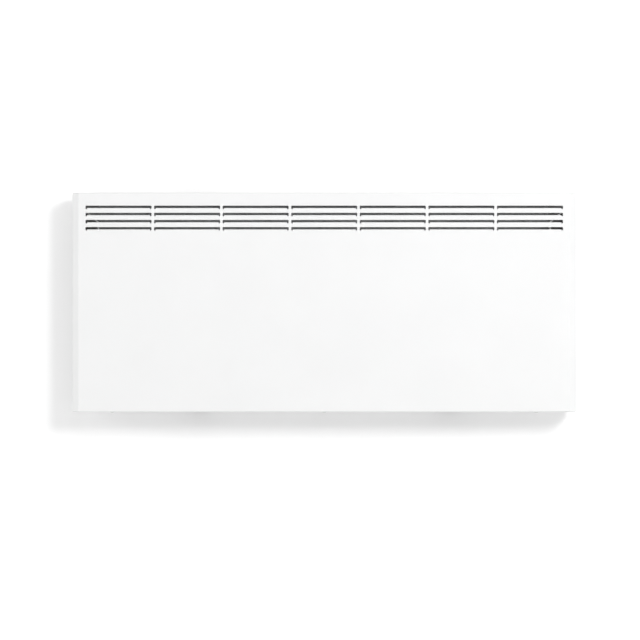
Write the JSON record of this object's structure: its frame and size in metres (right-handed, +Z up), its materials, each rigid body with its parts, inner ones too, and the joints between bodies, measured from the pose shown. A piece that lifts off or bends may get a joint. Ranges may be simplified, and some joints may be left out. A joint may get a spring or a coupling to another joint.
{
  "type": "wall panel convector heater",
  "caption": "Slim white sheet-steel convector panel with a louvred warm-air grille along its top, side controls and a tilting wall bracket.",
  "frame": {"origin": "middle of the wall bracket's back face, on the wall plane, at mid height of the casing", "axes": "+X to the right as seen from the front, +Y out of the bracket's back into the wall, +Z up"},
  "size_m": [0.92, 0.085, 0.4021],
  "materials": {
    "casing_paint": "satin white powder coat",
    "galvanised_steel": "galvanised sheet",
    "plated_fasteners": "zinc plated",
    "spring_steel": "oiled spring steel",
    "element_aluminium": "extruded, plain",
    "element_sheath": "annealed tube",
    "ceramic_bush": "steatite",
    "brass_terminal": "plain",
    "white_plastic": "fine grain",
    "grey_plastic": "moulded",
    "black_plastic": "moulded",
    "circuit_laminate": "lacquered laminate",
    "lamp_lens": "clear moulded",
    "brown_wire": "insulation",
    "blue_wire": "insulation",
    "green_yellow_wire": "insulation",
    "white_wire": "insulation"
  },
  "bodies": {
    "wall_bracket": {"bracket_rail": "galvanised_steel", "bracket_upright_left": "galvanised_steel", "bracket_upright_right": "galvanised_steel", "rail_rivet_left": "plated_fasteners", "rail_rivet_right": "plated_fasteners", "latch_spring_left": "spring_steel", "latch_spring_right": "spring_steel", "latch_rivet_left": "plated_fasteners", "latch_rivet_right": "plated_fasteners"},
    "heater": {"front_panel": "casing_paint", "rear_panel": "casing_paint", "casing_screw_1": "plated_fasteners", "casing_screw_2": "plated_fasteners", "casing_screw_3": "plated_fasteners", "heat_shield": "galvanised_steel", "outlet_deflector": "galvanised_steel", "duct_end_wall_left": "galvanised_steel", "duct_end_wall_right": "galvanised_steel", "element_fins": "element_aluminium", "element_sheath": "element_sheath", "element_rest": "galvanised_steel", "thermal_cutout": "black_plastic", "element_bush_left": "ceramic_bush", "element_bush_right": "ceramic_bush", "element_stud_left": "brass_terminal", "element_stud_right": "brass_terminal", "control_tray": "white_plastic", "bezel_screw_lower": "plated_fasteners", "bezel_screw_upper": "plated_fasteners", "board_holder": "grey_plastic", "circuit_board": "circuit_laminate", "thermostat_potentiometer": "black_plastic", "switch_housing": "black_plastic", "indicator_lens": "lamp_lens", "power_relay": "black_plastic", "cable_gland": "black_plastic", "gland_nut": "black_plastic", "terminal_block": "white_plastic", "earth_stud": "brass_terminal", "earth_nut": "brass_terminal", "room_sensor": "black_plastic", "sensor_clip": "white_plastic", "lead_element_left": "brown_wire", "lead_cutout": "brown_wire", "lead_element_right": "blue_wire", "lead_live": "brown_wire", "lead_neutral": "blue_wire", "lead_earth": "green_yellow_wire", "lead_sensor": "white_wire", "pivot_bracket_left": "galvanised_steel", "pivot_bracket_right": "galvanised_steel", "pivot_pin_left": "plated_fasteners", "pivot_pin_right": "plated_fasteners", "pivot_rivet_left_upper": "plated_fasteners", "pivot_rivet_left_lower": "plated_fasteners", "pivot_rivet_right_upper": "plated_fasteners", "pivot_rivet_right_lower": "plated_fasteners"},
    "knob": {"thermostat_knob": "white_plastic", "thermostat_shaft": "plated_fasteners"},
    "rocker": {"switch_rocker": "black_plastic"}
  },
  "joints": [
    {"name": "heater_tilt", "type": "hinge", "parent": "wall_bracket", "child": "heater", "pos_m": [0, -0.014, -0.182], "axis": [1, 0, 0], "range_deg": [0, 20], "deforming": ["latch_spring_left", "latch_spring_right"]},
    {"name": "thermostat_turn", "type": "hinge", "parent": "heater", "child": "knob", "pos_m": [0.4479, -0.055, 0.083], "axis": [-1, 0, 0], "range_deg": [0, 270]},
    {"name": "switch_rock", "type": "hinge", "parent": "heater", "child": "rocker", "pos_m": [0.4471, -0.055, 0.037], "axis": [0, -1, 0], "range_deg": [0, 22]}
  ]
}
